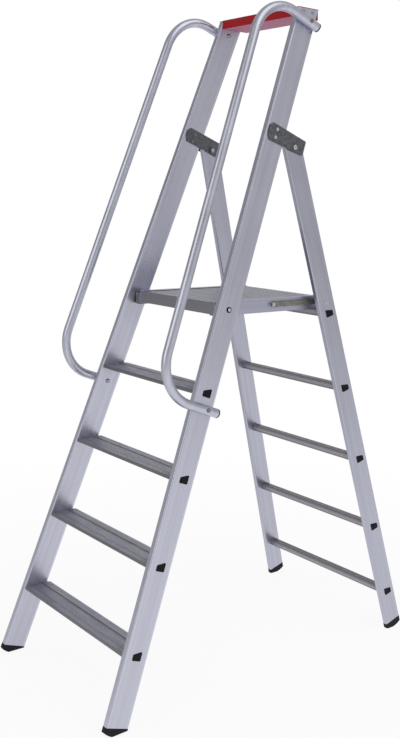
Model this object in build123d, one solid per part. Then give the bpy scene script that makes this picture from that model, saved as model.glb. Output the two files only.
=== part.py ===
from build123d import *
import os
from math import cos, radians, sin, sqrt, tan

# Stance of the two frames, in degrees
front_lean = 20.4
rear_lean = 16.3
stile_splay = 3.5

# Front stiles
front_width_at_floor = 626.2
front_stile_depth = 76.0
front_stile_thickness = 20.0
stile_top_height = 1998.0
front_stile_cut = 33.0
stile_wall = 2.2
stile_corner_radius = 4.0

# Rear stiles
rear_stile_depth = 66.0
rear_stile_cut = 16.0
rear_stile_above_pivot = 12.0

# Feet
foot_sole_thickness = 24.0
foot_sole_radius = 93.5
foot_insert_length = 30.0
foot_overhang = 0.5
insert_clearance = 0.15

# Treads
step_pitch = 250.0
tread_count = 4
first_tread_top = 213.5
tread_setback = 1.5
tread_depth = 87.0
tread_plate = 3.0
tread_front_lip = 10.0
tread_rear_lip = 6.0
tread_edge_radius = 1.3
tread_corner_radius = 14.0
tread_rib_pitch = 4.1
tread_groove_width = 1.5
groove_depth = 0.8
tread_front_band = 20.0
tread_front_seam = 2.0
tread_rear_band = 25.5
tread_rear_seam = 5.0
seam_depth = 1.4

# Hollow cores of the treads, and the rungs, which have the same section
core_width = 28.0
core_short_side = 16.5
core_wall = 2.0
core_corner_radius = 3.0
tread_core_inset = 25.0
rung_inset = 22.5
rung_count = 5
rung_pitch = 251.5
rung_front_grooves = 3
plug_cap = 1.5
plug_depth = 12.0

# Hinge between the frames
hinge_along_stile = 1750.1
hinge_behind_front_face = 120.7
hinge_plate_thickness = 3.0
hinge_side_gap = 1.5
hinge_plate_above = 36.5
hinge_plate_below = 16.0
hinge_plate_rear_below = 8.0
hinge_inner_plate_below = 8.0
hinge_plate_rear = 37.2
hinge_plate_front_inset = 7.0
hinge_plate_top_bevel = (11.0, 11.0)
hinge_plate_bottom_bevel = (11.0, 17.0)
hinge_plate_rear_bevel = 3.0
hinge_rivet_offsets = (20.0, -4.0)
hinge_bolt_radius = 5.0
hinge_head_radius = 8.0
hinge_head_height = 5.0
hinge_nut_size = 17.0
hinge_nut_height = 7.0
bush_radius = 7.5
bush_flange_radius = 11.0
bush_flange = 1.0
bush_gap = 0.6

# Handrails
rail_radius = 13.5
rail_wall = 1.5
rail_bend_radius = 118.5
rail_reach = 143.5
rail_lower_tail = 1.9
rail_upper_tail = -3.1
rail_lower_height = 935.5
rail_below_top = 43.2
rail_cap = 4.5
rail_bolt_radius = 4.0
rail_head_radius = 6.5
rail_head_height = 3.0
rail_nut_radius = 7.0
rail_nut_height = 5.0

# Top tray
tray_sheet = 2.0
tray_height = 26.0
tray_depth = 102.0
tray_front_overhang = 3.7
tray_rivet_insets = (20.0, 56.0)
tray_rivet_drop = 11.0

# Platform
platform_side_gap = 29.7
platform_depth = 423.0
platform_height = 38.6
platform_front_overhang = 11.0
platform_rest_gap = 0.4
plank_count = 6
plank_gap = 0.6
plank_plate = 3.0
plank_leg = 2.5
plank_foot = 14.0
plank_corner_radius = 1.1
plank_seam = 4.0
plank_groove_pitch = 7.0
plank_groove_width = 2.0
side_web = 3.0
side_flange = 24.0
side_cover = 2.0
cover_relief = 0.3
plank_rivet_radius = 2.5
plank_rivet_head_radius = 4.5
plank_rivet_head_height = 2.0

# Platform pivots and their brackets
pivot_below_deck = 15.3
pivot_bolt_radius = 4.0
pivot_head_radius = 5.0
pivot_head_height = 2.5
pivot_washer_radius = 8.5
pivot_washer_thickness = 1.5
pivot_nut_size = 13.0
pivot_nut_height = 3.2
pivot_bolt_end = 2.0
bracket_sheet = 3.0
bracket_depth = 45.0
bracket_above_pivot = 8.5
bracket_below_pivot = 27.0
bracket_corner_radius = 5.0
bracket_rivet_insets = (18.0, 34.0)
bracket_rivet_drop = 9.0

# Stays
stay_height = 16.0
stay_thickness = 4.0
stay_standoff = 3.5
stay_pin_radius = 4.0
stay_collar_radius = 7.5
stay_head_radius = 6.5
stay_head_height = 3.5
stay_spacer_radius = 8.0
stay_eye_head_height = 2.0

# Small fasteners and fits
rivet_radius = 3.0
rivet_head_radius = 5.5
rivet_head_height = 2.5
dome_share = 0.7
running_clearance = 0.05
bolt_clearance = 0.15
moving_gap = 0.4

# Lines that follow from the sizes above
lean_tan = tan(radians(front_lean))
splay_cos = cos(radians(stile_splay))
splay_sin = sin(radians(stile_splay))
splay_tan = tan(radians(stile_splay))
step_rise = step_pitch * cos(radians(front_lean))
rung_rise = rung_pitch * cos(radians(rear_lean))
deck_top = first_tread_top + tread_count * step_rise
deck_underside = deck_top - platform_height
top_rung_top = deck_underside - platform_rest_gap
rear_stile_thickness = front_stile_thickness - 2 * hinge_side_gap
rivet_hole = rivet_radius + bolt_clearance


def frame_plane(lean, floor_y):
    """The plane of a frame: x across, y rearwards through its depth, z up along it."""
    up = (0, sin(radians(lean)), cos(radians(lean)))
    return Plane(origin=(0, floor_y, 0), x_dir=(1, 0, 0), z_dir=up)


def stile_plane(frame, half_width):
    """The right stile's own plane: x out of its outer face, y rearwards, z up along the stile."""
    out = frame.x_dir * splay_cos + frame.z_dir * splay_sin
    up = frame.z_dir * splay_cos - frame.x_dir * splay_sin
    return Plane(origin=frame.origin + frame.x_dir * half_width, x_dir=out, z_dir=up)


def side_plane(frame, x, n=0.0, t=0.0):
    """A plane that faces out of a frame or stile, with the depth and the length as its axes."""
    return Plane(origin=frame.from_local_coords((x, n, t)), x_dir=frame.y_dir, z_dir=frame.x_dir)


def inner_plane(frame, x, n=0.0, t=0.0):
    """A plane that faces inwards, towards the middle of the object."""
    return Plane(origin=frame.from_local_coords((x, n, t)), x_dir=frame.y_dir, z_dir=-frame.x_dir)


def left_of(shape):
    return mirror(shape, about=Plane.YZ)


def pair(shape):
    return [shape, left_of(shape)]


def reflected(plane):
    """The same cutting plane on the left side."""
    spot = plane.origin
    facing = plane.z_dir
    return Plane(origin=(-spot.X, spot.Y, spot.Z), z_dir=(-facing.X, facing.Y, facing.Z))


def clip(shape, stile, x):
    """Cut both ends of a cross piece parallel to the stile faces."""
    right_cut = side_plane(stile, x)
    shape = split(shape, bisect_by=right_cut, keep=Keep.BOTTOM)
    return split(shape, bisect_by=reflected(right_cut), keep=Keep.BOTTOM)


def slab(shape, stile, inside, outside):
    """The part of a shape that lies between two depths below the right stile's outer face."""
    shape = split(shape, bisect_by=side_plane(stile, outside), keep=Keep.BOTTOM)
    return split(shape, bisect_by=side_plane(stile, inside), keep=Keep.TOP)


def rod(radius, start, end, spot):
    """A round bar along X between two x positions, through the height and depth of a spot."""
    base = Plane(origin=(start, spot.Y, spot.Z), z_dir=(1, 0, 0))
    return extrude(base * Circle(radius), amount=end - start)


def domed_head(plane, radius, height):
    head = extrude(Circle(radius), amount=height)
    head = fillet(head.edges().sort_by(Axis.Z)[-1:], height * dome_share)
    return plane.location * head


def hex_nut(plane, size, height):
    return plane.location * extrude(RegularPolygon(size / 2, 6, major_radius=False), amount=height)


def bar(plane, radius, length):
    return extrude(plane * Circle(radius), amount=length)


def two_headed_rivet(stile, n, t, outer, inner):
    """A rivet through a stile, with a domed head on each side."""
    shank = bar(side_plane(stile, inner, n, t), rivet_radius, outer - inner)
    outer_head = domed_head(side_plane(stile, outer, n, t), rivet_head_radius, rivet_head_height)
    inner_head = domed_head(inner_plane(stile, inner, n, t), rivet_head_radius, rivet_head_height)
    return shank + outer_head + inner_head


# The frames meet at the hinge: the rear stile's middle line passes through the pivot
front = frame_plane(front_lean, 0)
front_right = stile_plane(front, front_width_at_floor / 2)
hinge = front.from_local_coords((0, hinge_behind_front_face, hinge_along_stile))
rear_sin = sin(radians(rear_lean))
rear_cos = cos(radians(rear_lean))
hinge_along_rear = (hinge.Z - rear_stile_depth / 2 * rear_sin) / rear_cos
rear_floor_y = hinge.Y - rear_stile_depth / 2 * rear_cos + hinge_along_rear * rear_sin
rear = frame_plane(-rear_lean, rear_floor_y)
hinge_middle_x = (
    front_width_at_floor / 2 - hinge_along_stile * splay_tan - front_stile_thickness / 2 / splay_cos
)
rear_half_width = hinge_middle_x + rear_stile_thickness / 2 / splay_cos + hinge_along_rear * splay_tan
rear_right = stile_plane(rear, rear_half_width)

# The handrail's upper leg hangs from the stile's top, measured in the middle of its depth
front_middle = front_stile_depth / 2
stile_top_middle = (stile_top_height - front_middle * front.y_dir.Z) / front_right.z_dir.Z
rail_upper_height = stile_top_middle - rail_below_top

# The platform pivot lies in the middle of the front stile's depth
pivot_z = deck_top - pivot_below_deck
pivot_along_stile = (pivot_z - front_middle * front.y_dir.Z) / front.z_dir.Z
pivot = front.from_local_coords((0, front_middle, pivot_along_stile))
pivot_face_x = (
    front_width_at_floor / 2 - pivot_along_stile * splay_tan - front_stile_thickness / splay_cos
)
platform_half = pivot_face_x - platform_side_gap
bracket_outer_x = pivot_face_x - pivot_nut_height - moving_gap
deck_front_y = pivot.Y - platform_front_overhang
deck_rear_y = deck_front_y + platform_depth
flange_middle = platform_half - side_flange / 2

# The stay's rear end is level with the pivot, in the middle of the rear stile's depth.
# Its front end is where the stay is straight when open and the folded platform lies along the stiles.
stay_rear_along = (pivot_z - rear_stile_depth / 2 * rear.y_dir.Z) / rear.z_dir.Z
stay_rear = rear.from_local_coords((0, rear_stile_depth / 2, stay_rear_along))
open_span = stay_rear.Y - pivot.Y
folded_along = hinge_along_stile - (hinge_along_rear - stay_rear_along) - pivot_along_stile
folded_behind = hinge_behind_front_face - front_middle
folded_span = sqrt(folded_along**2 + folded_behind**2)
stay_front_reach = (open_span**2 - folded_span**2) / (2 * (open_span - folded_along))
stay_front = Vector(0, pivot.Y + stay_front_reach, pivot_z)
stay_inner_x = platform_half + stay_standoff
stay_outer_x = stay_inner_x + stay_thickness


def tube_section(thickness, depth):
    outer = RectangleRounded(thickness, depth, stile_corner_radius)
    inner = RectangleRounded(
        thickness - 2 * stile_wall, depth - 2 * stile_wall, stile_corner_radius - stile_wall
    )
    return Pos(-thickness / 2, depth / 2) * (outer - inner)


def stile_tube(stile, thickness, depth, bottom, top):
    tube = Pos(0, 0, bottom) * extrude(tube_section(thickness, depth), amount=top - bottom)
    return stile.location * tube


def foot(stile, thickness, depth, cut):
    """A plug in the stile's end with a rounded sole that is flat where it meets the floor."""
    middle = Pos(-thickness / 2, depth / 2, cut)
    wide = thickness + 2 * foot_overhang
    deep = depth + 2 * foot_overhang
    sole = middle * extrude(
        RectangleRounded(wide, deep, stile_corner_radius + foot_overhang), amount=-foot_sole_thickness
    )
    roll = middle * Pos(0, 0, foot_sole_radius - foot_sole_thickness) * Rot(0, 90, 0)
    sole = sole & (roll * Cylinder(foot_sole_radius, 2 * wide))
    slack = 2 * (stile_wall + insert_clearance)
    insert_section = RectangleRounded(thickness - slack, depth - slack, stile_corner_radius - stile_wall)
    insert = middle * extrude(insert_section, amount=foot_insert_length)
    return split(stile.location * (sole + insert), bisect_by=Plane.XY, keep=Keep.TOP)


def core_outline(frame, top, inset):
    """A tread core's or rung's section: flanks along the stile, a level top, a square-cut bottom."""
    flanks = (inset, inset + core_width)
    tops = [(top - n * frame.y_dir.Z) / frame.z_dir.Z for n in flanks]
    bottom = min(tops) - core_short_side
    corners = [(flanks[0], tops[0]), (flanks[1], tops[1]), (flanks[1], bottom), (flanks[0], bottom)]
    return make_face(FilletPolyline(*corners, radius=core_corner_radius, close=True))


def cross_prism(frame, section, half_length):
    """A section in a frame's side view, run across the object."""
    return extrude(side_plane(frame, 0) * section, amount=half_length, both=True)


def core_tube(frame, stile, wall, half_length):
    return clip(cross_prism(frame, wall, half_length), stile, 0)


def rung_grooves(top):
    """Anti-slip grooves in a rung's level top and in the upper part of its front flank."""
    crown = (top - rung_inset * rear.y_dir.Z) / rear.z_dir.Z
    flat = Rot(0, 0, -rear_lean) * Rectangle(tread_groove_width, 2 * groove_depth)
    upright = Rectangle(2 * groove_depth, tread_groove_width)
    grooves = []
    spot = core_corner_radius + tread_groove_width
    while spot < core_width / rear_cos - core_corner_radius - tread_groove_width / 2:
        grooves.append(Pos(rung_inset + spot * rear_cos, crown - spot * rear_sin) * flat)
        spot += tread_rib_pitch
    for number in range(rung_front_grooves):
        drop = core_corner_radius + tread_groove_width + number * tread_rib_pitch
        grooves.append(Pos(rung_inset, crown - drop) * upright)
    return grooves


def plugs(frame, stile, section, half_length):
    """The black plugs in both ends of a core: a cap on the outer face and an insert."""
    insert_section = offset(section, amount=-core_wall - insert_clearance)
    cap = slab(cross_prism(frame, section, half_length), stile, 0, plug_cap)
    insert = slab(cross_prism(frame, insert_section, half_length), stile, -plug_depth, 0)
    return pair(cap + insert)


def rear_corner(y1, top):
    """What a tread's rounded rear corner leaves away, at the right stile's inner face."""
    along = (top - front_stile_depth * front.y_dir.Z) / front.z_dir.Z
    end_x = front_width_at_floor / 2 - along * splay_tan - front_stile_thickness / splay_cos
    size = 2 * tread_corner_radius
    corner = Pos(end_x, y1) * Rectangle(size, size)
    corner -= Pos(end_x - tread_corner_radius, y1 - tread_corner_radius) * Circle(tread_corner_radius)
    return extrude(Plane.XY.offset(top) * corner, amount=tread_front_lip, both=True)


def tread(number):
    """One ribbed tread with a hollow core below it."""
    top = first_tread_top + number * step_rise
    y0 = top * lean_tan + tread_setback
    y1 = y0 + tread_depth
    under = top - tread_plate
    corners = [
        (y0, top),
        (y1, top),
        (y1, top - tread_rear_lip),
        (y1 - tread_plate, top - tread_rear_lip),
        (y1 - tread_plate, under),
        (y0 + tread_plate, under),
        (y0 + tread_plate, top - tread_front_lip),
        (y0, top - tread_front_lip),
    ]
    plate = make_face(FilletPolyline(*corners, radius=tread_edge_radius, close=True))
    rear_seam_end = y1 - tread_rear_band
    seams = [
        (y0 + tread_front_band, tread_front_seam),
        (rear_seam_end - tread_rear_seam, tread_rear_seam),
    ]
    for start, width in seams:
        plate -= Pos(start + width / 2, top) * Rectangle(width, 2 * seam_depth)
    bands = [
        (y0 + tread_rib_pitch, y0 + tread_front_band),
        (seams[0][0] + tread_front_seam + tread_rib_pitch / 2, seams[1][0]),
        (rear_seam_end + tread_rib_pitch / 2, y1 - tread_edge_radius - tread_groove_width),
    ]
    groove = Rectangle(tread_groove_width, 2 * groove_depth)
    for start, end in bands:
        spot = start
        while spot + tread_groove_width < end:
            plate -= Pos(spot + tread_groove_width / 2, top) * groove
            spot += tread_rib_pitch
    plate = extrude(Plane.YZ * plate, amount=front_width_at_floor, both=True)
    section = core_outline(front, top - seam_depth, tread_core_inset)
    hollow = offset(section, amount=-core_wall)
    body = clip(plate, front_right, -front_stile_thickness)
    body -= cross_prism(front, hollow, front_width_at_floor)
    corner = rear_corner(y1, top)
    body -= corner
    body -= left_of(corner)
    return body + core_tube(front, front_right, section - hollow, front_width_at_floor), section


def rail_path():
    """The handrail's middle line: two legs square to the stile and a run in front of it."""
    corners = [
        (front_stile_depth + rail_lower_tail, rail_lower_height),
        (-rail_reach, rail_lower_height),
        (-rail_reach, rail_upper_height),
        (front_stile_depth + rail_upper_tail, rail_upper_height),
    ]
    return side_plane(front_right, rail_radius) * FilletPolyline(*corners, radius=rail_bend_radius)


def hinge_outline(front_below, rear_below):
    """A hinge plate's outline, in the front stile's side view."""
    front_edge = hinge_plate_front_inset
    rear_edge = hinge_behind_front_face + hinge_plate_rear
    top = hinge_along_stile + hinge_plate_above
    front_bottom = hinge_along_stile - front_below
    rear_bottom = hinge_along_stile - rear_below
    return make_face(
        Polyline(
            (front_edge + hinge_plate_top_bevel[0], top),
            (rear_edge - hinge_plate_rear_bevel, top),
            (rear_edge, top - hinge_plate_rear_bevel),
            (rear_edge, rear_bottom + hinge_plate_rear_bevel),
            (rear_edge - hinge_plate_rear_bevel, rear_bottom),
            (front_edge + hinge_plate_bottom_bevel[0], front_bottom),
            (front_edge, front_bottom + hinge_plate_bottom_bevel[1]),
            (front_edge, top - hinge_plate_top_bevel[1]),
            close=True,
        )
    )


def plank(number):
    """One ribbed deck plank: a plate on two legs with feet, lower where the channels cover its ends."""
    width = platform_depth / plank_count - plank_gap
    y0 = deck_front_y + number * platform_depth / plank_count + plank_gap / 2
    y1 = y0 + width
    under = deck_top - plank_plate
    floor = deck_underside + side_web
    corners = [
        (y0, deck_top),
        (y1, deck_top),
        (y1, floor),
        (y1 - plank_foot, floor),
        (y1 - plank_foot, floor + plank_leg),
        (y1 - plank_leg, floor + plank_leg),
        (y1 - plank_leg, under),
        (y0 + plank_leg, under),
        (y0 + plank_leg, floor + plank_leg),
        (y0 + plank_foot, floor + plank_leg),
        (y0 + plank_foot, floor),
        (y0, floor),
    ]
    section = make_face(FilletPolyline(*corners, radius=plank_corner_radius, close=True))
    seams = (y0, (y0 + y1) / 2, y1)
    for middle in seams:
        section -= Pos(middle, deck_top) * Rectangle(plank_seam, 2 * seam_depth)
    groove = Rectangle(plank_groove_width, 2 * groove_depth)
    for start, end in zip(seams, seams[1:]):
        spot = start + (plank_seam + plank_groove_pitch) / 2
        while spot + plank_groove_width < end - plank_seam / 2:
            section -= Pos(spot + plank_groove_width / 2, deck_top) * groove
            spot += plank_groove_pitch
    body = extrude(Plane.YZ * section, amount=platform_half - side_web, both=True)
    relief = Pos(flange_middle, (y0 + y1) / 2, deck_top) * Box(
        side_flange + 2 * moving_gap, width, 2 * cover_relief
    )
    return body - relief - left_of(relief), (y0, y1)


def yz_block(y0, y1, z0, z1):
    """A rectangle of the side view, run across the object."""
    section = Pos((y0 + y1) / 2, (z0 + z1) / 2) * Rectangle(y1 - y0, z1 - z0)
    return extrude(Plane.YZ * section, amount=front_width_at_floor, both=True)


nodes = {}

# Treads and rungs, with the plugs in their ends
front_stile_top = stile_top_height / front_right.z_dir.Z + front_stile_depth
front_stile = stile_tube(
    front_right, front_stile_thickness, front_stile_depth, front_stile_cut, front_stile_top
)
front_stile = split(front_stile, bisect_by=Plane.XY.offset(stile_top_height), keep=Keep.BOTTOM)
tread_plugs = []
for number in range(tread_count):
    body, section = tread(number)
    nodes[f"tread_{number + 1}"] = body
    tread_plugs += plugs(front, front_right, section, front_width_at_floor)
    front_stile -= cross_prism(front, section, front_width_at_floor)
nodes["tread_plugs"] = Compound(tread_plugs)

rear_stile_end = hinge_along_rear / splay_cos + rear_stile_above_pivot
rear_stile = stile_tube(
    rear_right, rear_stile_thickness, rear_stile_depth, rear_stile_cut, rear_stile_end
)
rung_plugs = []
for number in range(rung_count):
    rung_top = top_rung_top - (rung_count - 1 - number) * rung_rise
    section = core_outline(rear, rung_top, rung_inset)
    wall = section - offset(section, amount=-core_wall) - rung_grooves(rung_top)
    nodes[f"rear_rung_{number + 1}"] = core_tube(rear, rear_right, wall, front_width_at_floor)
    rung_plugs += plugs(rear, rear_right, section, front_width_at_floor)
    rear_stile -= cross_prism(rear, section, front_width_at_floor)
nodes["rung_plugs"] = Compound(rung_plugs)

# Feet
front_foot = foot(front_right, front_stile_thickness, front_stile_depth, front_stile_cut)
rear_foot = foot(rear_right, rear_stile_thickness, rear_stile_depth, rear_stile_cut)

# Handrails, with plugged ends, bolted through the stiles
path = rail_path()
mouth = Plane(origin=path @ 0, z_dir=path % 0)
handrail = sweep(mouth * (Circle(rail_radius) - Circle(rail_radius - rail_wall)), path=path)
rail_caps = []
rail_bolts = []
rail_nuts = []
for height, tail_length in ((rail_lower_height, rail_lower_tail), (rail_upper_height, rail_upper_tail)):
    tail = front_stile_depth + tail_length
    end_plane = Plane(origin=front_right.from_local_coords((rail_radius, tail, height)), z_dir=front.y_dir)
    cap = bar(end_plane, rail_radius, rail_cap)
    plug_radius = rail_radius - rail_wall - insert_clearance
    rail_caps += pair(cap + bar(end_plane, plug_radius, -plug_depth))

    inner_face = -front_stile_thickness
    across = side_plane(front_right, inner_face, front_middle, height)
    through = 2 * rail_radius + front_stile_thickness
    hole = bar(across, rail_bolt_radius + bolt_clearance, through)
    head = bar(side_plane(front_right, rail_radius, front_middle, height), rail_head_radius, rail_radius)
    head_plane = side_plane(front_right, 2 * rail_radius, front_middle, height)
    head += domed_head(head_plane, rail_head_radius, rail_head_height)
    head -= bar(end_plane, rail_radius, -2 * tail)
    nut = domed_head(
        inner_plane(front_right, inner_face, front_middle, height), rail_nut_radius, rail_nut_height
    )
    shank_start = inner_face - rail_nut_height / 2
    shank_plane = side_plane(front_right, shank_start, front_middle, height)
    shank = bar(shank_plane, rail_bolt_radius, through + rail_nut_height / 2)
    rail_bolts += pair(shank + head)
    rail_nuts += pair(nut - shank)
    handrail -= hole
    front_stile -= hole
nodes["handrail_right"] = handrail
nodes["handrail_left"] = left_of(handrail)
nodes["handrail_end_plugs"] = Compound(rail_caps)
nodes["handrail_bolts"] = Compound(rail_bolts)
nodes["handrail_nuts"] = Compound(rail_nuts)

# Top tray: a pan between the stiles with ears over their ends
tray_front_y = stile_top_height * lean_tan - tray_front_overhang
tray_rear_y = tray_front_y + tray_depth
tray_top = stile_top_height + tray_sheet
tray_bottom = tray_top - tray_height

stile_top_front = stile_top_height * lean_tan
stile_top_rear = stile_top_front + front_stile_depth / cos(radians(front_lean))
pan = clip(
    yz_block(tray_front_y, tray_rear_y, tray_bottom, tray_top), front_right, -front_stile_thickness
)
ears = clip(yz_block(stile_top_front, stile_top_rear, stile_top_height, tray_top), front_right, 0)
inside = yz_block(
    tray_front_y + tray_sheet, tray_rear_y - tray_sheet, tray_bottom + tray_sheet, tray_top + tray_height
)
tray = pan + ears - clip(inside, front_right, -front_stile_thickness - tray_sheet)
tray_rivets = []
for n in tray_rivet_insets:
    t = (tray_top - tray_rivet_drop - n * front.y_dir.Z) / front_right.z_dir.Z
    inner = -front_stile_thickness - tray_sheet
    tray_rivets += pair(two_headed_rivet(front_right, n, t, 0, inner))
    hole = bar(side_plane(front_right, inner, n, t), rivet_hole, front_stile_thickness + tray_sheet)
    tray -= hole
    tray -= left_of(hole)
    front_stile -= hole
nodes["top_tray"] = tray
nodes["tray_rivets"] = Compound(tray_rivets)

# Hinge plates on both faces of the front stile, and the pivot through them
hinge_t = hinge_along_stile / splay_cos
outer_plate_face = hinge_plate_thickness
inner_plate_face = -front_stile_thickness - hinge_plate_thickness
outer_outline = hinge_outline(hinge_plate_below, hinge_plate_rear_below)
inner_outline = hinge_outline(hinge_inner_plate_below, hinge_inner_plate_below)
outer_plate = extrude(side_plane(front_right, 0) * outer_outline, amount=hinge_plate_thickness)
inner_plate = extrude(
    side_plane(front_right, inner_plate_face) * inner_outline, amount=hinge_plate_thickness
)
hinge_rivets = []
for along in hinge_rivet_offsets:
    t = hinge_t + along
    hinge_rivets += pair(
        two_headed_rivet(front_right, front_middle, t, outer_plate_face, inner_plate_face)
    )
    hole_plane = side_plane(front_right, inner_plate_face, front_middle, t)
    hole = bar(hole_plane, rivet_hole, outer_plate_face - inner_plate_face)
    outer_plate -= hole
    inner_plate -= hole
    front_stile -= hole
nodes["hinge_rivets"] = Compound(hinge_rivets)

hinge_reach = front_stile_thickness / 2 + hinge_plate_thickness
hinge_shank = rod(
    hinge_bolt_radius,
    hinge_middle_x - hinge_reach - hinge_nut_height,
    hinge_middle_x + hinge_reach + hinge_head_height / 2,
    hinge,
)
hinge_hole = rod(
    hinge_bolt_radius + running_clearance,
    hinge_middle_x - 2 * hinge_reach,
    hinge_middle_x + 2 * hinge_reach,
    hinge,
)
hinge_spot = (hinge_behind_front_face, hinge_t)
hinge_head = domed_head(
    side_plane(front_right, outer_plate_face, *hinge_spot), hinge_head_radius, hinge_head_height
)
hinge_nut = hex_nut(
    inner_plane(front_right, inner_plate_face, *hinge_spot), hinge_nut_size, hinge_nut_height
)
nodes["hinge_bolts"] = Compound(pair(hinge_shank + hinge_head))
nodes["hinge_nuts"] = Compound(pair(hinge_nut - hinge_hole))
outer_plate -= hinge_hole
inner_plate -= hinge_hole
nodes["hinge_plate_right_outer"] = outer_plate
nodes["hinge_plate_right_inner"] = inner_plate
nodes["hinge_plate_left_outer"] = left_of(outer_plate)
nodes["hinge_plate_left_inner"] = left_of(inner_plate)

# Flanged bushes, one in each wall of the rear stile, turning on the hinge bolt
bush_span = (hinge_middle_x - rear_stile_thickness, hinge_middle_x + rear_stile_thickness)
bush_hole = rod(bush_radius, *bush_span, hinge)
rear_t = hinge_along_rear / splay_cos
rear_spot = (rear_stile_depth / 2, rear_t)
rear_middle = rear_stile_thickness / 2
outer_bush = slab(bush_hole, rear_right, -rear_middle + bush_gap / 2, 0)
outer_bush += bar(side_plane(rear_right, 0, *rear_spot), bush_flange_radius, bush_flange)
inner_bush = slab(bush_hole, rear_right, -rear_stile_thickness, -rear_middle - bush_gap / 2)
inner_bush += bar(
    inner_plane(rear_right, -rear_stile_thickness, *rear_spot), bush_flange_radius, bush_flange
)
bushes = [bush - hinge_hole for bush in (outer_bush, inner_bush)]
nodes["hinge_bushes"] = Compound(pair(bushes[0]) + pair(bushes[1]))
rear_stile -= bush_hole

# Platform pivots: a bolt clamped to each front stile, whose plain end carries the platform's bracket
pivot_t = pivot_along_stile / splay_cos
pivot_spot = (front_middle, pivot_t)
pivot_outer_x = pivot_face_x + front_stile_thickness
bracket_plate_x = bracket_outer_x - bracket_sheet
pivot_end_x = bracket_plate_x - pivot_bolt_end
pivot_shank_end = pivot_outer_x + pivot_washer_thickness + pivot_head_height / 2
pivot_shank = rod(pivot_bolt_radius, pivot_end_x, pivot_shank_end, pivot)
pivot_hole = rod(pivot_bolt_radius + bolt_clearance, platform_half, front_width_at_floor, pivot)
pivot_running = rod(pivot_bolt_radius + running_clearance, bracket_plate_x, bracket_outer_x, pivot)
pivot_head = domed_head(
    side_plane(front_right, pivot_washer_thickness, *pivot_spot), pivot_head_radius, pivot_head_height
)
pivot_washer = bar(side_plane(front_right, 0, *pivot_spot), pivot_washer_radius, pivot_washer_thickness)
nut_plane = Plane(origin=(bracket_outer_x + moving_gap, pivot.Y, pivot.Z), z_dir=(1, 0, 0))
pivot_nut = hex_nut(nut_plane, pivot_nut_size, front_stile_thickness)
pivot_nut = split(pivot_nut, bisect_by=side_plane(front_right, -front_stile_thickness), keep=Keep.BOTTOM)
nodes["platform_pivot_bolts"] = Compound(pair(pivot_shank + pivot_head))
nodes["platform_pivot_washers"] = Compound(pair(pivot_washer - pivot_hole))
nodes["platform_pivot_nuts"] = Compound(pair(pivot_nut - pivot_hole))
front_stile -= pivot_hole

# Platform deck: planks in two channels that cover their ends, riveted through their feet
side_height = platform_height + side_cover
side_section = Pos(platform_half - side_web / 2, deck_underside + side_height / 2) * Rectangle(
    side_web, side_height
)
side_section += Pos(flange_middle, deck_underside + side_web / 2) * Rectangle(side_flange, side_web)
side_section += Pos(flange_middle, deck_top + side_cover / 2) * Rectangle(side_flange, side_cover)
side_front = Plane(origin=(0, deck_rear_y, 0), x_dir=(1, 0, 0), z_dir=(0, -1, 0))
platform_side = extrude(side_front * side_section, amount=platform_depth)
plank_rivets = []
rivet_x = platform_half - (side_web + side_flange) / 2
for number in range(plank_count):
    body, edges = plank(number)
    for rivet_y in (edges[0] + (plank_leg + plank_foot) / 2, edges[1] - (plank_leg + plank_foot) / 2):
        base = Plane(origin=(rivet_x, rivet_y, deck_underside))
        grip = side_web + plank_leg
        shank = bar(base, plank_rivet_radius, grip)
        head = bar(base.offset(grip), plank_rivet_head_radius, plank_rivet_head_height)
        plank_rivets += pair(shank + head)
        platform_side -= shank
        body -= shank
        body -= left_of(shank)
    nodes[f"platform_plank_{number + 1}"] = body
nodes["plank_rivets"] = Compound(plank_rivets)

# Pivot brackets in the gaps between the platform and the front stiles
bracket_low = pivot_z - bracket_below_pivot
bracket_high = pivot_z + bracket_above_pivot
bracket_width = bracket_outer_x - platform_half
bracket_section = Pos(platform_half + bracket_width / 2, deck_front_y + bracket_depth / 2) * Rectangle(
    bracket_width, bracket_depth
)
bracket_section -= Pos(
    platform_half + bracket_width / 2, deck_front_y + bracket_sheet + bracket_depth / 2
) * Rectangle(bracket_width - 2 * bracket_sheet, bracket_depth)
bracket = extrude(Plane.XY.offset(bracket_low) * bracket_section, amount=bracket_high - bracket_low)
rear_corners = bracket.edges().filter_by(Axis.X).group_by(Axis.Y)[-1]
bracket = fillet(rear_corners, bracket_corner_radius)
bracket -= pivot_running
bracket_rivets = []
for inset in bracket_rivet_insets:
    spot = Vector(0, deck_front_y + inset, pivot_z - bracket_rivet_drop)
    shank = rod(rivet_radius, platform_half - side_web, platform_half + bracket_sheet, spot)
    head_plane = Plane(origin=(platform_half + bracket_sheet, spot.Y, spot.Z), z_dir=(1, 0, 0))
    bracket_rivets += pair(shank + domed_head(head_plane, rivet_head_radius, rivet_head_height))
    bracket -= shank
    platform_side -= shank
nodes["platform_bracket_right"] = bracket
nodes["platform_bracket_left"] = left_of(bracket)
nodes["bracket_rivets"] = Compound(bracket_rivets)

# Stays: a stud on the platform's side carries the front eye
stud = rod(stay_pin_radius, platform_half - side_web, stay_outer_x + moving_gap, stay_front)
stud += rod(stay_collar_radius, platform_half, stay_inner_x - moving_gap, stay_front)
stud_head_plane = Plane(origin=(stay_outer_x + moving_gap, stay_front.Y, stay_front.Z), z_dir=(1, 0, 0))
stud += domed_head(stud_head_plane, stay_head_radius, stay_head_height)
nodes["stay_studs"] = Compound(pair(stud))
platform_side -= rod(stay_pin_radius, platform_half - side_web, platform_half, stay_front)
nodes["platform_side_right"] = platform_side
nodes["platform_side_left"] = left_of(platform_side)

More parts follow.
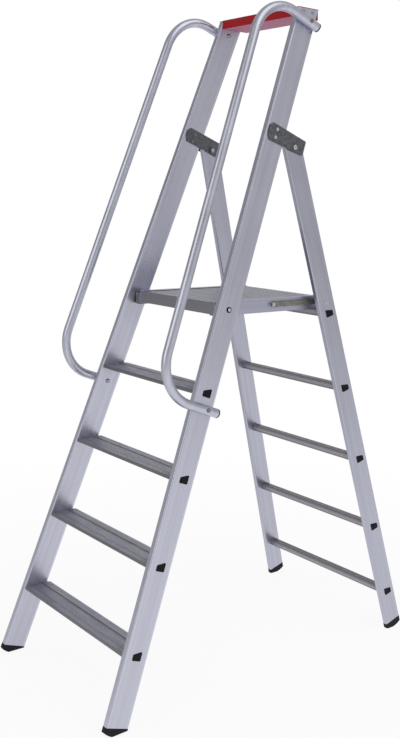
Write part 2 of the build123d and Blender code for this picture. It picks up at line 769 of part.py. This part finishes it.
stay_length = stay_rear.Y - stay_front.Y
stay_plane = Plane(origin=(stay_inner_x, stay_front.Y, stay_front.Z), x_dir=(0, 1, 0), z_dir=(1, 0, 0))
stay_outline = Pos(stay_length / 2, 0) * SlotCenterToCenter(stay_length, stay_height)
stay = extrude(stay_plane * stay_outline, amount=stay_thickness)
stay -= rod(stay_pin_radius + running_clearance, stay_inner_x, stay_outer_x, stay_front)
eye_rivet = rod(stay_pin_radius, stay_inner_x, stay_outer_x, stay_rear)
stay -= eye_rivet
eye_head_plane = Plane(origin=(stay_inner_x, stay_rear.Y, stay_rear.Z), z_dir=(-1, 0, 0))
eye_rivet += domed_head(eye_head_plane, stay_head_radius, stay_eye_head_height)
nodes["stay_right"] = stay
nodes["stay_left"] = left_of(stay)
nodes["stay_eye_rivet_right"] = eye_rivet
nodes["stay_eye_rivet_left"] = left_of(eye_rivet)

# The spacer and rivet on the rear stile that meet the stay's rear eye
spacer_start = stay_outer_x + moving_gap
stay_rivet_t = stay_rear_along / splay_cos
stay_rivet_x = rear_half_width - stay_rear_along * splay_tan
stay_spacer = rod(stay_spacer_radius, spacer_start, stay_rivet_x, stay_rear)
stay_spacer = split(
    stay_spacer, bisect_by=side_plane(rear_right, -rear_stile_thickness), keep=Keep.BOTTOM
)
stay_rivet = rod(stay_pin_radius, spacer_start, stay_rivet_x + rivet_head_height / 2, stay_rear)
stay_rivet_plane = side_plane(rear_right, 0, rear_stile_depth / 2, stay_rivet_t)
stay_rivet += domed_head(stay_rivet_plane, stay_head_radius, rivet_head_height)
stay_rivet_hole = rod(stay_pin_radius + bolt_clearance, spacer_start, front_width_at_floor, stay_rear)
nodes["stay_spacers"] = Compound(pair(stay_spacer - stay_rivet_hole))
nodes["stay_rivets"] = Compound(pair(stay_rivet))
rear_stile -= stay_rivet_hole

nodes["front_stile_right"] = front_stile
nodes["front_stile_left"] = left_of(front_stile)
nodes["rear_stile_right"] = rear_stile
nodes["rear_stile_left"] = left_of(rear_stile)
nodes["front_foot_right"] = front_foot
nodes["front_foot_left"] = left_of(front_foot)
nodes["rear_foot_right"] = rear_foot
nodes["rear_foot_left"] = left_of(rear_foot)

# The origin is on the floor, in the middle of the object's footprint
box = Compound([solid for shape in nodes.values() for solid in shape.solids()]).bounding_box()
to_middle = Pos(0, -(box.min.Y + box.max.Y) / 2, 0)

os.makedirs("parts", exist_ok=True)
for name, shape in nodes.items():
    placed = [to_middle * solid for solid in shape.solids()]
    export_step(Compound(placed) if len(placed) > 1 else placed[0], f"parts/{name}.step")
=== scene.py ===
from math import cos, radians, sin

import bpy
from mathutils import Matrix, Vector


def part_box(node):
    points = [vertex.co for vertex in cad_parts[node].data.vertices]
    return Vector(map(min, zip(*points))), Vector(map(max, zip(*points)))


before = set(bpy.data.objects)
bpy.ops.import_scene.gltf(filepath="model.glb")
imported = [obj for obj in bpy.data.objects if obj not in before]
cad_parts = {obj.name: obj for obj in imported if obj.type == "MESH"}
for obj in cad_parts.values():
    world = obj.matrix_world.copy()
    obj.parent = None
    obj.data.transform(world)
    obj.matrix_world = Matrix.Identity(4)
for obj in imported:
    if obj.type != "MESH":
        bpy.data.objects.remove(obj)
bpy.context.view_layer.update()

# Stance and sizes of the frames, as in the solid model
front_lean = radians(20.4)
rear_lean = radians(16.3)
splay = radians(3.5)
seam_depth = 0.0014
front_stile_depth = 0.076

# Directions along the stiles of the right side, and along the axes
front_up = Vector((-sin(splay), cos(splay) * sin(front_lean), cos(splay) * cos(front_lean)))
rear_up = Vector((-sin(splay), -cos(splay) * sin(rear_lean), cos(splay) * cos(rear_lean)))
across = Vector((1, 0, 0))
rearwards = Vector((0, 1, 0))
upwards = Vector((0, 0, 1))

# Camera of the photograph
image_height = 738
focal_pixels = 956.98
camera_place = Vector((2.3144, -1.8857, 1.4615))
camera_yaw = radians(51.77)
camera_pitch = radians(-10.44)
camera_roll = radians(1.27)
sensor_long_side = 36.0

# Surroundings: their colour, their level to look at, and the level of the light they give
white = (1, 1, 1, 1)
background_level = 1.0
ambient_level = 0.62

# Surroundings as metal mirrors them: levels by the height of a direction
studio_levels = ((0.00, 0.92), (0.14, 0.86), (0.34, 0.62), (0.70, 0.45))

# Dim places in the mirrored surroundings: direction, cosines where it starts and is full, level
front_left = Vector((-0.80, -0.57, 0.05))
front_right = Vector((0.77, -0.63, 0.05))
rear_right = Vector((0.80, 0.60, 0.05))
rear_right_core = Vector((0.82, 0.57, 0.06))
rear = Vector((0.13, 0.99, 0.00))
dim_places = (
    (front_left, (0.55, 0.92), 0.46),
    (front_right, (0.60, 0.96), 0.58),
    (rear_right, (0.88, 0.98), 0.75),
    (rear, (0.80, 0.96), 0.45),
    (rear_right_core, (0.985, 0.998), 0.72),
)

# Floor: its size, its finish, and the share of its glow by distance from the middle
floor_half = 30.0
floor_colour = (0.90, 0.90, 0.90, 1)
floor_roughness = 0.9
floor_specular = 0.1
glow_distances = (0.7, 2.4)
glow_shares = (0.90, 1.00)

# Floor as metal mirrors it: levels by distance, towards the front left, and in a cone far behind
mirrored_distances = (2.5, 10.0)
mirrored_levels = (0.90, 0.67)
front_left_distances = (0.0, 1.5)
front_left_levels = (1.0, 0.68)
rear_cone = (0.80, 0.96)
rear_distances = (3.0, 6.0)
rear_levels = (1.0, 0.55)

# Lamps: place, diameter and power
lamp_target = Vector((0, 0, 1))
key_lamp = (Vector((3.0, 0.8, 5.2)), 5.0, 52)
fill_lamp = (Vector((0.5, -4.5, 3.2)), 4.0, 30)

# Where painted shade fades in or out, as shares of a piece's width, depth or height
# The first span darkens a cross piece's ends, as painted shade beside the stiles
end_shade_span = (0.37, 0.46)
plank_front_edge = (0.010, 0.025)
# The next span darkens a tread's front edge, as painted shade of its shadowed lip
tread_front_edge = (0.012, 0.035)
# The next two place a painted shade line across a tread, along its rear seam
seam_line_start = (0.57, 0.61)
seam_line_end = (0.69, 0.71)
side_top = (0.93, 0.95)
rung_top = (0.56, 0.66)
rung_lower_edge = (0.28, 0.38)

# Where painted shade fades out in a ribbed top, as shares of its seams' depth
seam_shade_depths = (0.85, 0.65)
groove_shade_depths = (0.5, 0.1)

# Widths in metres of a stile's rims that keep a painted highlight, with and without their fade, and
# of a side member's painted shade line
stile_rim = (0.0085, 0.0065)
side_shade_width = 0.012

# How thick painted shade, painted highlight and dirt lie, from 0 for none to 1
seam_shade_level = 0.9
groove_shade_level = 0.5
plank_edge_levels = (0.65, 1.0)
tread_edge_level = 0.9
tread_end_level = 0.6
tread_smear_level = 0.22
seam_line_level = 0.45
stile_flat_level = 0.16
side_shade_level = 0.8
rung_top_level = 0.42
rung_edge_level = 0.72
rung_end_level = 0.4

# Painted shade and dirt leave this share of a metal's red, green and blue
shade_and_dirt_tint = (0.37, 0.36, 0.345)

# Marks per metre across and along an extrusion
die_lines = (620.0, 2.5)
broad_bands = (70.0, 1.2)
tread_smears = (55.0, 14.0)

# Weights of marks in the tone and relief of aluminium, and in the tone of zinc
band_weight = 0.3
line_and_patch_weight = 0.7
line_relief = 0.55
spangle_weight = 0.5
cloud_weight = 0.5

# Plated steel: how far from their group's middle heads are darker, their tone, and rougher spots
inner_head = (0.45, 0.47)
darkened_tone = 0.3
spot_roughness = 0.12

# Tint of the paint's sheen, which stands in for the light on the tray's underside; on plastic, the
# share of colour that dust leaves and the grey it adds
paint_sheen_tint = (1.0, 0.48, 0.85, 1)
plastic_dust_share = 0.8
plastic_dust_grey = 0.012

# Colours of worn edges, and of the painted shade on the paint's edges
worn_zinc = (0.55, 0.56, 0.58, 1)
paint_edge_shade = (0.07, 0.008, 0.012, 1)
worn_plastic = (0.05, 0.05, 0.06, 1)

# For ramps: the range that most noise lies in, and levels that rise or fall
usual_noise = (0.3, 0.7)
rising = (0.0, 1.0)
falling = (1.0, 0.0)


# Shader nodes
def new_material(name):
    material = bpy.data.materials.new(name)
    material.use_nodes = True
    return material, material.node_tree, material.node_tree.nodes["Principled BSDF"]


def connect(tree, socket, value):
    """Links a socket to another one, or sets its value."""
    if isinstance(value, bpy.types.NodeSocket):
        tree.links.new(value, socket)
    else:
        socket.default_value = value


def fill_inputs(tree, node, **inputs):
    """Links or sets a node's inputs, whose names have underscores for spaces."""
    for name, value in inputs.items():
        connect(tree, node.inputs[name.replace("_", " ")], value)


def add(tree, kind, settings=None, **inputs):
    """A shader node with its settings and its inputs."""
    node = tree.nodes.new(kind)
    for name, value in (settings or {}).items():
        setattr(node, name, value)
    fill_inputs(tree, node, **inputs)
    return node


def math_node(tree, operation, first, second=0.0):
    node = add(tree, "ShaderNodeMath", {"operation": operation})
    connect(tree, node.inputs[0], first)
    connect(tree, node.inputs[1], second)
    return node.outputs[0]


def plus(tree, first, second):
    return math_node(tree, "ADD", first, second)


def times(tree, first, second):
    return math_node(tree, "MULTIPLY", first, second)


def apart(tree, value, middle):
    """How far a value is from a middle, on either side."""
    return math_node(tree, "ABSOLUTE", math_node(tree, "SUBTRACT", value, middle))


def vector_math(tree, operation, first, second=(0, 0, 0)):
    """The outputs of a vector operation: Vector, or Value for a dot product or a length."""
    node = add(tree, "ShaderNodeVectorMath", {"operation": operation})
    connect(tree, node.inputs[0], first)
    connect(tree, node.inputs[1], second)
    return node.outputs


def dot_product(tree, first, second):
    return vector_math(tree, "DOT_PRODUCT", first, second)["Value"]


def ramp(tree, value, span, levels=rising):
    """A value mapped from a span to levels, held at the ends."""
    low, high = span
    at_low, at_high = levels
    node = add(tree, "ShaderNodeMapRange", Value=value, From_Min=low, From_Max=high)
    fill_inputs(tree, node, To_Min=at_low, To_Max=at_high)
    return node.outputs["Result"]


def blend(tree, kind, share, first, second):
    """A mix of two values or colours."""
    node = add(tree, "ShaderNodeMix", {"data_type": kind}, Factor=share, A=first, B=second)
    return node.outputs["Result"]


def blend_colour(tree, share, first, second):
    return blend(tree, "RGBA", share, first, second)


def noise(tree, place, scale=1.0, detail=2.0, roughness=0.5):
    inputs = {"Scale": scale, "Detail": detail, "Roughness": roughness}
    return add(tree, "ShaderNodeTexNoise", Vector=place, **inputs).outputs["Fac"]


def bump(tree, height, strength, distance):
    node = add(tree, "ShaderNodeBump", Height=height, Strength=strength, Distance=distance)
    return node.outputs["Normal"]


# Shades of a colour
def toned(colour, factor=1.0):
    """A colour with four channels, made darker or lighter by a factor."""
    return [min(1.0, channel * factor) for channel in colour] + [1]


def two_tone(tree, share, colour, dark, light=1.0):
    """A colour that varies between two tones of it."""
    return blend_colour(tree, share, toned(colour, dark), toned(colour, light))


def cover(tree, shade, mask, level, colour):
    """A shade with a colour over it where a mask is, as thick as its level."""
    return blend_colour(tree, times(tree, mask, level), shade, colour)


# Places on the object
def object_place(tree):
    return tree.nodes.new("ShaderNodeTexCoord").outputs["Object"]


def coordinates(tree, place):
    return add(tree, "ShaderNodeSeparateXYZ", Vector=place).outputs


def mirrored_place(tree):
    """Places on the left side read as their mirror image on the right."""
    parts = coordinates(tree, object_place(tree))
    right = math_node(tree, "ABSOLUTE", parts["X"])
    place = add(tree, "ShaderNodeCombineXYZ", X=right, Y=parts["Y"], Z=parts["Z"])
    return place.outputs["Vector"]


def grain_place(tree, along, fine, coarse):
    """Coordinates for marks drawn out along an extrusion: fine across it, coarse along it."""
    turn = along.rotation_difference(upwards).to_euler("XYZ")
    place = mirrored_place(tree)
    settings = {"rotation_type": "EULER_XYZ"}
    turned = add(tree, "ShaderNodeVectorRotate", settings, Vector=place, Rotation=turn)
    return vector_math(tree, "MULTIPLY", turned.outputs["Vector"], (fine, fine, coarse))["Vector"]


def piece_place(tree):
    """Where a point is in its piece: from 0 to 1 across, rearwards and up."""
    return coordinates(tree, tree.nodes.new("ShaderNodeTexCoord").outputs["Generated"])


def off_middle(tree, place):
    """How far a point is from the middle of its piece, as a share of the piece's width."""
    return apart(tree, place["X"], middle=0.5)


def inner_heads(tree):
    """The heads of a group of fasteners that face the middle of the object."""
    return ramp(tree, off_middle(tree, piece_place(tree)), inner_head, falling)


def edge_mask(tree, radius):
    """One on sharp edges and zero on flat faces."""
    rounded = add(tree, "ShaderNodeBevel", {"samples": 6}, Radius=radius).outputs["Normal"]
    face = tree.nodes.new("ShaderNodeNewGeometry").outputs["Normal"]
    return ramp(tree, dot_product(tree, rounded, face), span=(0.70, 0.985), levels=falling)


# Painted shade, painted highlight and dirt: masks of where each lies, each with its level
def mottled_end_shade(tree, place):
    """The mask of painted shade where a cross piece meets the stiles, broken up into mottled
    patches.
    """
    smears = noise(tree, object_place(tree), scale=45.0, detail=3.0, roughness=0.6)
    ends = ramp(tree, off_middle(tree, place), end_shade_span)
    return times(tree, ends, ramp(tree, smears, span=(0.25, 0.60)))


def groove_shade(tree, place, node):
    """Painted shade in a piece's top: thick in the seams, thinner in the grooves, which are not as
    deep.
    """
    low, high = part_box(node)
    seam_share = seam_depth / (high.z - low.z)
    layers = ((groove_shade_depths, groove_shade_level), (seam_shade_depths, seam_shade_level))
    masks = []
    for depths, level in layers:
        span = [1 - seam_share * depth for depth in depths]
        masks.append((ramp(tree, place["Z"], span, falling), level))
    return masks


def plank_shade(tree):
    """Painted shade in a plank's grooves and seams, less of it on the front edge."""
    place = piece_place(tree)
    left_over = ramp(tree, place["Y"], plank_front_edge, plank_edge_levels)
    masks = groove_shade(tree, place, "platform_plank_1")
    return [(times(tree, mask, left_over), level) for mask, level in masks]


def tread_shade_and_dirt(tree):
    """Painted shade and dirt on a tread: painted shade in its grooves and seams, on its front edge,
    at its ends and in a line along its rear seam, and dirt in smears.
    """
    place = piece_place(tree)
    # Painted shade along the front edge, where the lip lies in shadow
    front_edge = ramp(tree, place["Y"], tread_front_edge, falling)
    marks = noise(tree, grain_place(tree, across, *tread_smears), detail=4.0, roughness=0.65)
    smears = ramp(tree, marks, span=(0.46, 0.66))
    # A painted shade line along the rear seam
    behind_start = ramp(tree, place["Y"], seam_line_start)
    before_end = ramp(tree, place["Y"], seam_line_end, falling)
    return [
        *groove_shade(tree, place, "tread_1"),
        (front_edge, tread_edge_level),
        (mottled_end_shade(tree, place), tread_end_level),
        (smears, tread_smear_level),
        (times(tree, behind_start, before_end), seam_line_level),
    ]


def stile_rim_highlight(tree):
    """Painted highlight along a front stile's rims: the flat between them is painted darker."""
    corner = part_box("front_stile_right")[0]
    rearwards_and_down = Vector((0, cos(front_lean), -sin(front_lean)))
    front_edge = Vector((0, corner.y, corner.z + front_stile_depth * sin(front_lean)))
    middle = front_edge.dot(rearwards_and_down) + front_stile_depth / 2
    off_centre = apart(tree, dot_product(tree, object_place(tree), rearwards_and_down), middle)
    flat_span = [front_stile_depth / 2 - inset for inset in stile_rim]
    return [(ramp(tree, off_centre, flat_span, falling), stile_flat_level)]


def side_shade_line(tree):
    """Painted shade line on a side member's top, along its inner edge where it lies on the planks.
    """
    inner_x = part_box("platform_side_right")[0].x
    right = coordinates(tree, mirrored_place(tree))["X"]
    inner_edge = ramp(tree, right, (inner_x, inner_x + side_shade_width), falling)
    top = ramp(tree, piece_place(tree)["Z"], side_top)
    return [(times(tree, inner_edge, top), side_shade_level)]


def rung_shade(tree):
    """Painted shade on a rung's top, lower edge and ends, with a lighter stripe left between."""
    place = piece_place(tree)
    return [
        (ramp(tree, place["Z"], rung_top), rung_top_level),
        (ramp(tree, place["Z"], rung_lower_edge, falling), rung_edge_level),
        (mottled_end_shade(tree, place), rung_end_level),
    ]


# Materials
def extruded_aluminium(name, colour, along, roughness=0.40, shade_and_dirt=None, grain=0.45):
    """Mill-finish aluminium with drawn-out die lines, dull patches, and the painted shade, painted
    highlight and dirt that its piece is given.
    """
    material, tree, shader = new_material(name)
    lines = noise(tree, grain_place(tree, along, *die_lines), detail=3.0, roughness=0.6)
    bands = noise(tree, grain_place(tree, along, *broad_bands))
    patches = noise(tree, mirrored_place(tree), scale=7.0, detail=4.0, roughness=0.6)
    tone = plus(tree, times(tree, lines, grain), times(tree, bands, band_weight))
    tone = plus(tree, tone, times(tree, patches, line_and_patch_weight - grain))
    share = ramp(tree, tone, span=(0.32, 0.68))
    shade = two_tone(tree, share, colour, dark=0.80, light=1.10)
    shade_and_dirt_colour = [channel * left for channel, left in zip(colour, shade_and_dirt_tint)] + [1]
    # Painted shade, painted highlight and dirt laid over the metal, as thick as each mask's level
    for mask, level in shade_and_dirt(tree) if shade_and_dirt else []:
        shade = cover(tree, shade, mask, level, shade_and_dirt_colour)
    rough = plus(tree, ramp(tree, patches, usual_noise, levels=(-0.06, 0.08)), roughness)
    rough = plus(tree, rough, ramp(tree, lines, usual_noise, levels=(-0.05, 0.05)))
    relief = bump(tree, lines, strength=grain * line_relief, distance=0.0002)
    fill_inputs(tree, shader, Base_Color=shade, Metallic=1.0, Roughness=rough, Normal=relief)
    return material


def galvanised_steel(name, colour):
    """Zinc-coated steel: a flaky spangle, with brighter worn edges."""
    material, tree, shader = new_material(name)
    place = object_place(tree)
    flakes = add(tree, "ShaderNodeTexVoronoi", Vector=place, Scale=190.0, Randomness=1.0)
    spangle = add(tree, "ShaderNodeSeparateColor", Color=flakes.outputs["Color"]).outputs["Red"]
    clouds = noise(tree, place, scale=40.0, detail=4.0, roughness=0.65)
    tone = plus(tree, times(tree, spangle, spangle_weight), times(tree, clouds, cloud_weight))
    share = ramp(tree, tone, span=(0.25, 0.75))
    shade = two_tone(tree, share, colour, dark=0.75, light=1.30)
    edge_wear_and_shade = times(tree, edge_mask(tree, radius=0.0008), ramp(tree, clouds, span=(0.35, 0.6)))
    shade = cover(tree, shade, edge_wear_and_shade, level=0.6, colour=worn_zinc)
    rough = ramp(tree, tone, span=(0.2, 0.8), levels=(0.38, 0.60))
    relief = bump(tree, clouds, strength=0.2, distance=0.0003)
    fill_inputs(tree, shader, Base_Color=shade, Metallic=0.85, Roughness=rough, Normal=relief)
    return material


def plated_steel(name, colour, roughness, darkened_heads=None):
    """Plated fasteners with a fine grain and dull spots, and darker on the heads that a mask picks.
    """
    material, tree, shader = new_material(name)
    spots = noise(tree, object_place(tree), scale=320.0, detail=3.0, roughness=0.6)
    shade = two_tone(tree, ramp(tree, spots, span=(0.4, 0.65)), colour, dark=0.72)
    if darkened_heads:
        # Darker on the heads that the mask picks
        shade = blend_colour(tree, darkened_heads(tree), shade, toned(colour, darkened_tone))
    rough = ramp(tree, spots, usual_noise, levels=(roughness + spot_roughness, roughness))
    relief = bump(tree, spots, strength=0.15, distance=0.0002)
    fill_inputs(tree, shader, Base_Color=shade, Metallic=1.0, Roughness=rough, Normal=relief)
    return material


def powder_coat(name, colour):
    """Powder coat with orange peel and slight fading, a pink sheen that stands in for the light on
    its underside, and painted shade on its edges, broken up in patches.
    """
    material, tree, shader = new_material(name)
    place = object_place(tree)
    peel = noise(tree, place, scale=900.0, detail=1.0)
    fade = noise(tree, place, scale=9.0, detail=3.0)
    edge_shade_breakup = noise(tree, place, scale=150.0, detail=4.0, roughness=0.7)
    shade = two_tone(tree, ramp(tree, fade, span=(0.35, 0.65)), colour, dark=0.82)
    # Painted shade on the edges, broken up in patches
    edge_wear_and_shade = times(tree, edge_mask(tree, radius=0.0012), ramp(tree, edge_shade_breakup, span=(0.35, 0.60)))
    shade = cover(tree, shade, edge_wear_and_shade, level=0.75, colour=paint_edge_shade)
    rough = ramp(tree, fade, usual_noise, levels=(0.34, 0.46))
    relief = bump(tree, peel, strength=0.12, distance=0.0002)
    fill_inputs(tree, shader, Base_Color=shade, Roughness=rough, Normal=relief)
    fill_inputs(tree, shader, Specular_IOR_Level=0.05, Coat_Weight=0.35, Coat_Roughness=0.12)
    # A pink sheen, standing in for the light on the tray's underside
    fill_inputs(tree, shader, Sheen_Weight=1.0, Sheen_Roughness=0.3, Sheen_Tint=paint_sheen_tint)
    return material


def moulded_plastic(name, colour):
    """Moulded plastic with a fine texture, dusty in places and scuffed at its edges."""
    material, tree, shader = new_material(name)
    place = object_place(tree)
    texture = noise(tree, place, scale=1100.0)
    dust = noise(tree, place, scale=60.0, detail=4.0, roughness=0.6)
    dusty = [channel * plastic_dust_share + plastic_dust_grey for channel in colour] + [1]
    shade = blend_colour(tree, ramp(tree, dust, span=(0.45, 0.75)), toned(colour), dusty)
    edge_wear_and_shade = times(tree, edge_mask(tree, radius=0.0012), ramp(tree, dust, span=(0.4, 0.6)))
    shade = cover(tree, shade, edge_wear_and_shade, level=0.5, colour=worn_plastic)
    rough = ramp(tree, dust, usual_noise, levels=(0.45, 0.62))
    relief = bump(tree, texture, strength=0.2, distance=0.0002)
    fill_inputs(tree, shader, Base_Color=shade, Roughness=rough, Normal=relief)
    fill_inputs(tree, shader, Specular_IOR_Level=0.15)
    return material


# Colours of the finishes
front_stile_colour = (0.685, 0.69, 0.81)
rear_stile_colour = (0.56, 0.565, 0.67)
tube_colour = (0.63, 0.64, 0.74)
tread_colour = (0.66, 0.66, 0.755)
plank_colour = (0.60, 0.60, 0.68)
rung_colour = (0.51, 0.495, 0.545)
side_colour = (0.51, 0.515, 0.64)
zinc_colour = (0.145, 0.152, 0.162)
pale_zinc_colour = (0.27, 0.27, 0.28)
passivated_colour = (0.26, 0.26, 0.22)
bright_colour = (0.70, 0.70, 0.73)
polished_colour = (0.92, 0.92, 0.95)
hinge_rivet_colour = (0.74, 0.74, 0.77)
dull_colour = (0.30, 0.30, 0.34)
satin_colour = (0.52, 0.52, 0.60)
red_colour = (0.37, 0.006, 0.010)
black_colour = (0.006, 0.005, 0.009)
rubber_colour = (0.014, 0.012, 0.020)
grey_colour = (0.05, 0.05, 0.055)
nylon_colour = (0.62, 0.61, 0.57)

# Finishes
# Front stiles carry a painted highlight along their rims
front_stile_metal = extruded_aluminium(
    "front_stile_aluminium", front_stile_colour, front_up, roughness=0.32, shade_and_dirt=stile_rim_highlight
)
rear_stile_metal = extruded_aluminium(
    "rear_stile_aluminium", rear_stile_colour, rear_up, roughness=0.32
)
tube_metal = extruded_aluminium(
    "tube_aluminium", tube_colour, front_up, roughness=0.31, grain=0.12
)
# Treads carry painted shade, and dirt in smears
tread_metal = extruded_aluminium(
    "tread_aluminium", tread_colour, across, roughness=0.46, shade_and_dirt=tread_shade_and_dirt
)
# Planks carry painted shade in their grooves and seams
plank_metal = extruded_aluminium(
    "plank_aluminium", plank_colour, across, roughness=0.44, shade_and_dirt=plank_shade
)
# Rungs carry painted shade on their top, lower edge and ends
rung_metal = extruded_aluminium(
    "rung_aluminium", rung_colour, across, roughness=0.36, shade_and_dirt=rung_shade
)
# Side members carry a painted shade line along their top's inner edge
side_metal = extruded_aluminium("side_aluminium", side_colour, rearwards, shade_and_dirt=side_shade_line)
zinc = galvanised_steel("galvanised_steel", zinc_colour)
pale_zinc = galvanised_steel("pale_galvanised_steel", pale_zinc_colour)
passivated = galvanised_steel("passivated_steel", passivated_colour)
bright = plated_steel("bright_steel", bright_colour, roughness=0.25)
polished = plated_steel("polished_steel", polished_colour, roughness=0.16)
hinge_rivet_steel = plated_steel(
    "hinge_rivet_steel", hinge_rivet_colour, roughness=0.25, darkened_heads=inner_heads
)
dull_steel = plated_steel("dull_steel", dull_colour, roughness=0.32)
satin_metal = plated_steel("satin_metal", satin_colour, roughness=0.34)
red = powder_coat("red_powder_coat", red_colour)
black = moulded_plastic("black_plastic", black_colour)
rubber = moulded_plastic("foot_rubber", rubber_colour)
grey = moulded_plastic("grey_plastic", grey_colour)
nylon = moulded_plastic("nylon", nylon_colour)

# Finish of each piece, by the start of its name
finishes = {
    "front_stile": front_stile_metal,
    "rear_stile": rear_stile_metal,
    "handrail_left": tube_metal,
    "handrail_right": tube_metal,
    "tread_": tread_metal,
    "rear_rung": rung_metal,
    "platform_plank": plank_metal,
    "platform_side": side_metal,
    "hinge_plate": zinc,
    "platform_bracket": pale_zinc,
    "handrail_bolts": dull_steel,
    "handrail_nuts": satin_metal,
    "hinge_nuts": dull_steel,
    "hinge_rivets": hinge_rivet_steel,
    "platform_pivot_bolts": polished,
    "tray_rivets": satin_metal,
    "stay_left": passivated,
    "stay_right": passivated,
    "stay_eye": passivated,
    "stay_spacers": zinc,
    "top_tray": red,
    "tread_plugs": black,
    "rung_plugs": black,
    "front_foot": rubber,
    "rear_foot": rubber,
    "platform_pivot_washers": black,
    "handrail_end_plugs": grey,
    "hinge_bushes": nylon,
}


def finish_of(name):
    """The finish with the longest start that a piece's name has; the other fasteners are bright."""
    starts = [start for start in finishes if name.startswith(start)]
    return finishes[max(starts, key=len)] if starts else bright


for name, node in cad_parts.items():
    node.data.materials.clear()
    node.data.materials.append(finish_of(name))


# Camera at the photograph's view
def photo_camera():
    data = bpy.data.cameras.new("camera")
    data.sensor_width = sensor_long_side
    data.lens = focal_pixels / image_height * sensor_long_side
    camera = bpy.data.objects.new("camera", data)
    bpy.context.scene.collection.objects.link(camera)
    forward = Vector(
        (
            -sin(camera_yaw) * cos(camera_pitch),
            cos(camera_yaw) * cos(camera_pitch),
            sin(camera_pitch),
        )
    )
    level = Vector((cos(camera_yaw), sin(camera_yaw), 0))
    upright = level.cross(forward)
    right = level * cos(camera_roll) + upright * sin(camera_roll)
    up = upright * cos(camera_roll) - level * sin(camera_roll)
    axes = Matrix((right, up, -forward)).transposed().to_4x4()
    camera.matrix_world = Matrix.Translation(camera_place) @ axes
    bpy.context.scene.camera = camera


# Pale floor, white surroundings and soft lamps
def mirrored_rays(tree):
    return tree.nodes.new("ShaderNodeLightPath").outputs["Is Glossy Ray"]


def seen_rays(tree):
    """One for rays that show the background: straight to the camera, mirrored or through glass."""
    rays = tree.nodes.new("ShaderNodeLightPath").outputs
    seen = math_node(tree, "MAXIMUM", rays["Is Camera Ray"], rays["Is Glossy Ray"])
    return math_node(tree, "MAXIMUM", seen, rays["Is Transmission Ray"])


def mix_shaders(tree, share, first, second):
    choice = tree.nodes.new("ShaderNodeMixShader")
    connect(tree, choice.inputs[0], share)
    tree.links.new(first, choice.inputs[1])
    tree.links.new(second, choice.inputs[2])
    return choice.outputs[0]


def mirrored_floor_level(tree, place, distance):
    """How bright metal mirrors the floor: dimmer far off, towards the front left and far behind."""
    level = ramp(tree, distance, mirrored_distances, mirrored_levels)
    to_front_left = dot_product(tree, place, front_left)
    dimming = ramp(tree, to_front_left, front_left_distances, front_left_levels)
    level = times(tree, level, dimming)
    heading = vector_math(tree, "NORMALIZE", place)["Vector"]
    cone = ramp(tree, dot_product(tree, heading, rear.normalized()), rear_cone)
    far_behind = times(tree, cone, ramp(tree, distance, rear_distances))
    return times(tree, level, ramp(tree, far_behind, rising, rear_levels))


def pale_floor():
    mesh = bpy.data.meshes.new("floor")
    signs = ((-1, -1), (1, -1), (1, 1), (-1, 1))
    corners = [(x * floor_half, y * floor_half, 0) for x, y in signs]
    mesh.from_pydata(corners, [], [(0, 1, 2, 3)])
    floor = bpy.data.objects.new("floor", mesh)
    bpy.context.scene.collection.objects.link(floor)
    material, tree, shader = new_material("pale_floor")
    fill_inputs(tree, shader, Base_Color=floor_colour, Roughness=floor_roughness)
    fill_inputs(tree, shader, Specular_IOR_Level=floor_specular)
    place = object_place(tree)
    distance = vector_math(tree, "LENGTH", place)["Value"]
    mirrored_level = mirrored_floor_level(tree, place, distance)
    level = blend(tree, "FLOAT", mirrored_rays(tree), background_level, mirrored_level)
    glow = add(tree, "ShaderNodeEmission", Color=white, Strength=level)
    share = times(tree, seen_rays(tree), ramp(tree, distance, glow_distances, glow_shares))
    surface = mix_shaders(tree, share, shader.outputs[0], glow.outputs[0])
    tree.links.new(surface, tree.nodes["Material Output"].inputs["Surface"])
    mesh.materials.append(material)


def studio_level(tree):
    """How bright metal mirrors the surroundings in each direction."""
    direction = tree.nodes.new("ShaderNodeTexCoord").outputs["Generated"]
    height = coordinates(tree, direction)["Z"]
    level = studio_levels[0][1]
    for (low, at_low), (high, at_high) in zip(studio_levels, studio_levels[1:]):
        level = plus(tree, level, ramp(tree, height, (low, high), (0.0, at_high - at_low)))
    for place, cosines, place_level in dim_places:
        nearness = dot_product(tree, direction, place.normalized())
        level = times(tree, level, ramp(tree, nearness, cosines, (1.0, place_level)))
    return level


def white_world():
    world = bpy.data.worlds.new("studio")
    bpy.context.scene.world = world
    world.use_nodes = True
    tree = world.node_tree
    tree.nodes.clear()
    backdrop = blend(tree, "FLOAT", mirrored_rays(tree), background_level, studio_level(tree))
    strength = blend(tree, "FLOAT", seen_rays(tree), ambient_level, backdrop)
    light = add(tree, "ShaderNodeBackground", Color=white, Strength=strength)
    output = tree.nodes.new("ShaderNodeOutputWorld")
    tree.links.new(light.outputs[0], output.inputs["Surface"])


def soft_lamp(name, place, diameter, power):
    data = bpy.data.lights.new(name, "AREA")
    data.shape = "DISK"
    data.size = diameter
    data.energy = power
    lamp = bpy.data.objects.new(name, data)
    bpy.context.scene.collection.objects.link(lamp)
    lamp.location = place
    lamp.rotation_euler = (lamp_target - place).to_track_quat("-Z", "Y").to_euler()


photo_camera()
pale_floor()
white_world()
soft_lamp("key", *key_lamp)
soft_lamp("fill", *fill_lamp)
bpy.context.scene.view_settings.view_transform = "Standard"
